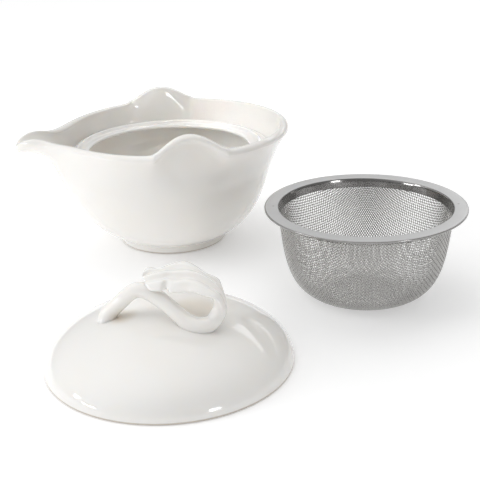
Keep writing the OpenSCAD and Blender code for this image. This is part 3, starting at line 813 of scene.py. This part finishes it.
def sheet_steel(c, p):
    """Pressed stainless sheet: satin on the flange with fine turned lines and two weld spots, polished in the
    collar."""
    f = Finish("sheet_steel", Metallic=1.0)
    at = f.place((*middle("strainer_rim"), 0))
    level = f.node("ShaderNodeVectorMath", {"operation": "MULTIPLY"}, {0: at, 1: (1, 1, 0)})
    radius = f.node("ShaderNodeVectorMath", {"operation": "LENGTH"}, {0: level}, "Value")
    satin = f.fade(radius, FLANGE_R - p.flange_w + 0.5 * MM, FLANGE_R - p.flange_w + 1.4 * MM)
    satin = satin * (1 - f.fade(radius, FLANGE_R - 0.8 * MM, FLANGE_R - 0.2 * MM))
    turned_at = f.node("ShaderNodeCombineXYZ", {}, {"X": radius, "Z": f.part(at, "Z")})
    lines = f.noise(turned_at, 0.16 * MM, 1.0)
    cloud = f.noise(at, 9 * MM)
    weld = f.node("ShaderNodeVectorMath", {"operation": "ABSOLUTE"}, {0: f.turned(level, p.weld_turn)})
    weld = f.node("ShaderNodeVectorMath", {"operation": "DISTANCE"}, {
        0: weld, 1: (FLANGE_R - p.flange_w * 0.57, 0, 0)}, "Value")
    weld = 1 - f.fade(weld, 0.2 * MM, 0.7 * MM)
    satin_tone = f.blend(cloud, c.sheet, [0.9 * x for x in c.sheet])
    f.surface(
        Base_Color=f.blend(weld, f.blend(satin, c.collar, satin_tone), c.collar),
        Roughness=0.12 + satin * (0.20 + 0.10 * lines) + 0.04 * cloud,
        Normal=f.bump(lines * satin - 3.0 * weld, 0.08, 0.05 * MM),
    )
    return f.material


def wire_steel(c):
    """Drawn stainless wire, dulled a little from place to place."""
    f = Finish("wire_steel", Metallic=1.0)
    at = f.place()
    cloud = f.noise(at, 7 * MM)
    fine = f.noise(at, 0.6 * MM)
    f.surface(
        Base_Color=f.blend(cloud, c.wire, [0.88 * x for x in c.wire]),
        Roughness=0.16 + 0.10 * fine,
    )
    return f.material


def studio_floor(c):
    """A pale matt sheet that glows a little, so that it stays white to its far end."""
    f = Finish("studio_floor", Roughness=0.9, Specular_IOR_Level=0.1,
               Emission_Color=(1, 1, 1, 1), Emission_Strength=0.19)
    cloud = f.noise(f.place(), 0.4)
    f.surface(Base_Color=f.blend(cloud, c.floor, [0.985 * x for x in c.floor]))
    return f.material


def studio_sky(world):
    """A white tent round the table: soft panels to the left, above and behind, and a dark front. The light
    of a panel falls off with a power of the cosine of the angle to its middle."""
    f = Nodes(world, "ShaderNodeBackground", "ShaderNodeOutputWorld")
    way = f.node("ShaderNodeTexCoord", {}, {}, "Object")
    light = 0.27
    for strength, power, *middle_way in (
            (0.55, 4.0, -0.8, 0.0, 0.6), (1.32, 4.0, 0.0, 0.2, 0.98),
            (0.36, 8.0, 0.3, 0.92, 0.2)):
        near = f.node("ShaderNodeVectorMath", {"operation": "DOT_PRODUCT"}, {0: way, 1: middle_way}, "Value")
        near = f.node("ShaderNodeMath", {"operation": "MAXIMUM"}, {0: near, 1: 0.0})
        light = light + strength * f.node("ShaderNodeMath", {"operation": "POWER"}, {0: near, 1: power})
    f.surface(Color=(1, 1, 1, 1), Strength=light)


# Operators

def porcelain(context):
    """The glaze, made once and shared by all porcelain pieces."""
    found = bpy.data.materials.get("glazed_porcelain")
    return found or glazed_porcelain(context.scene.teapot_finish)


class TEAPOT_OT_bowl(bpy.types.Operator):
    """Build the porcelain bowl with its foot, beak and lugs"""
    bl_idname = "teapot.bowl"
    bl_label = "Bowl"

    def execute(self, context):
        points, faces = bowl_surface(context.scene.teapot_bowl)
        make_piece("pot_bowl", points, faces, "pot", "porcelain", porcelain(context), "pot_body")
        return {"FINISHED"}


class TEAPOT_OT_seat(bpy.types.Operator):
    """Build the ring inside the bowl that carries the strainer and the lid"""
    bl_idname = "teapot.seat"
    bl_label = "Seat ring"

    def execute(self, context):
        points, faces = seat_surface(context.scene.teapot_seat, RING_HIGH.x)
        make_piece("pot_seat", points, faces, "pot", "porcelain", porcelain(context), "seat_ring")
        return {"FINISHED"}


class TEAPOT_OT_lid(bpy.types.Operator):
    """Build the hollow dome of the lid"""
    bl_idname = "teapot.lid"
    bl_label = "Lid"

    def execute(self, context):
        points, faces = dome_surface(context.scene.teapot_lid)
        make_piece("lid_shell", points, faces, "lid", "porcelain", porcelain(context), "lid_dome")
        return {"FINISHED"}


class TEAPOT_OT_knob(bpy.types.Operator):
    """Build the stem and the leaf of the lid's knob"""
    bl_idname = "teapot.knob"
    bl_label = "Knob"

    def execute(self, context):
        p = context.scene.teapot_lid
        for name, surface, node in (
                ("knob_scroll", stem_surface, "knob_stem"), ("knob_blade", leaf_surface, "knob_leaf")):
            rows, (start, end) = surface(p)
            points, faces = skin(rows, start=start, end=end)
            make_piece(name, on_lid(points, p.turn), faces, "lid", "porcelain", porcelain(context), node)
        return {"FINISHED"}


class TEAPOT_OT_flange(bpy.types.Operator):
    """Build the strainer's steel flange and collar"""
    bl_idname = "teapot.flange"
    bl_label = "Strainer flange"

    def execute(self, context):
        p = context.scene.teapot_strainer
        points, faces = flange_surface(p)
        steel = sheet_steel(context.scene.teapot_finish, p)
        make_piece("strainer_flange", points, faces, "strainer", "sheet_steel", steel, "strainer_rim")
        return {"FINISHED"}


class TEAPOT_OT_cloth(bpy.types.Operator):
    """Weave the strainer's cup from two families of wires"""
    bl_idname = "teapot.cloth"
    bl_label = "Wire cloth"

    def execute(self, context):
        p = context.scene.teapot_strainer
        points, normal, within = cloth_crossings(p)
        steel = wire_steel(context.scene.teapot_finish)
        warp = wire_family(points, normal, within, p, 0)
        weft = wire_family(points.swapaxes(0, 1), normal.swapaxes(0, 1), within.T, p, 1)
        for name, (places, faces) in (("strainer_warp", warp), ("strainer_weft", weft)):
            make_piece(name, places, faces, "strainer", "wire_cloth", steel, "strainer_mesh")
        return {"FINISHED"}


def softbox(name, place, aim, size, power, mirrored=True, spread=180):
    """An even rectangular lamp that looks at a point, its light kept within an angle in degrees. One that
    isn't mirrored lights without a reflection."""
    lamp = bpy.data.lights.new(name, "AREA")
    lamp.shape, lamp.size, lamp.size_y = "RECTANGLE", *size
    lamp.energy, lamp.spread = power, math.radians(spread)
    holder = bpy.data.objects.new(name, lamp)
    turn = (Vector(aim) - Vector(place)).to_track_quat("-Z", "Y").to_matrix().to_4x4()
    holder.matrix_world = Matrix.Translation(place) @ turn
    holder.visible_camera = False
    holder.visible_glossy = mirrored
    bpy.context.scene.collection.objects.link(holder)


class TEAPOT_OT_stage(bpy.types.Operator):
    """Build the pale floor, the soft studio light and the camera"""
    bl_idname = "teapot.stage"
    bl_label = "Stage"

    def execute(self, context):
        scene = context.scene
        half, below = 4.0, 0.2 * MM
        corners = [(-half, -half, 0), (half, -half, 0), (half, half, 0), (-half, half, 0)]
        mesh = bpy.data.meshes.new("floor")
        mesh.from_pydata(corners, [], [(0, 1, 2, 3)])
        mesh.materials.append(studio_floor(scene.teapot_finish))
        floor = bpy.data.objects.new("floor", mesh)
        scene.collection.objects.link(floor)
        floor.location.z = -below

        scene.world = bpy.data.worlds.new("studio")
        studio_sky(scene.world)
        softbox("softbox_left", (-1.15, -0.06, 0.22), (-0.05, -0.15, 0.02), (0.14, 0.14), 0.9)
        softbox("panel_left", (-0.95, 0.05, 0.55), (0.02, 0.0, 0.04), (0.6, 0.4), 1.9, mirrored=False)
        softbox("strip_left", (-1.1, -0.34, 0.08), (-0.05, -0.15, 0.02), (0.30, 0.05), 0.8)
        softbox("softbox_front", (0.55, -1.2, 0.14), (0.0, -0.05, 0.03), (0.22, 0.2), 1.5)
        softbox("window_low", (0.72, 0.60, 0.36), (0.0, -0.15, 0.01), (0.62, 0.07), 0.22)
        softbox("window_high", (0.66, 0.54, 0.62), (0.0, -0.15, 0.01), (0.5, 0.12), 0.25)
        softbox("bowl_light", (-0.22, -0.30, 0.62), (0.025, 0.03, 0.055), (0.06, 0.06), 0.0055,
                mirrored=False, spread=9)

        eye, aim = Vector((-0.06275, -0.51306, 0.1986)), Vector((0.03348, -0.01802, 0))
        forward = (aim - eye).normalized()
        right = forward.cross(Vector((0, 0, 1))).normalized()
        up = right.cross(forward)
        roll = math.radians(1.71)
        right, up = right * math.cos(roll) - up * math.sin(roll), up * math.cos(roll) + right * math.sin(roll)
        camera = bpy.data.cameras.new("camera")
        camera.lens, camera.sensor_width, camera.clip_start = 75, 36, 0.01
        holder = bpy.data.objects.new("camera", camera)
        holder.matrix_world = Matrix.Translation(eye) @ Matrix((right, up, -forward)).transposed().to_4x4()
        scene.collection.objects.link(holder)
        scene.camera = holder
        scene.view_settings.view_transform = "Standard"
        return {"FINISHED"}


class TEAPOT_PT_panel(bpy.types.Panel):
    """Lists the pieces of the teapot"""
    bl_label = "Teapot"
    bl_idname = "TEAPOT_PT_panel"
    bl_space_type = "VIEW_3D"
    bl_region_type = "UI"
    bl_category = "Teapot"

    def draw(self, context):
        for operator in OPERATORS:
            self.layout.operator(operator.bl_idname)
        for name in GROUPS:
            box = self.layout.box()
            box.label(text=name.replace("_", " "))
            group = getattr(context.scene, name)
            for prop in group.bl_rna.properties:
                if prop.identifier not in ("rna_type", "name"):
                    box.prop(group, prop.identifier)


GROUPS = {
    "teapot_bowl": TeapotBowl,
    "teapot_seat": TeapotSeat,
    "teapot_lid": TeapotLid,
    "teapot_strainer": TeapotStrainer,
    "teapot_finish": TeapotFinish,
}
OPERATORS = (
    TEAPOT_OT_bowl,
    TEAPOT_OT_seat,
    TEAPOT_OT_lid,
    TEAPOT_OT_knob,
    TEAPOT_OT_flange,
    TEAPOT_OT_cloth,
    TEAPOT_OT_stage,
)
CLASSES = (*GROUPS.values(), *OPERATORS, TEAPOT_PT_panel)


def register():
    for cls in CLASSES:
        bpy.utils.register_class(cls)
    for name, group in GROUPS.items():
        setattr(bpy.types.Scene, name, bpy.props.PointerProperty(type=group))


def unregister():
    for name in GROUPS:
        delattr(bpy.types.Scene, name)
    for cls in reversed(CLASSES):
        bpy.utils.unregister_class(cls)


def main():
    register()
    bpy.ops.teapot.bowl()
    bpy.ops.teapot.seat()
    bpy.ops.teapot.lid()
    bpy.ops.teapot.knob()
    bpy.ops.teapot.flange()
    bpy.ops.teapot.cloth()
    bpy.ops.teapot.stage()


if __name__ == "__main__":
    main()
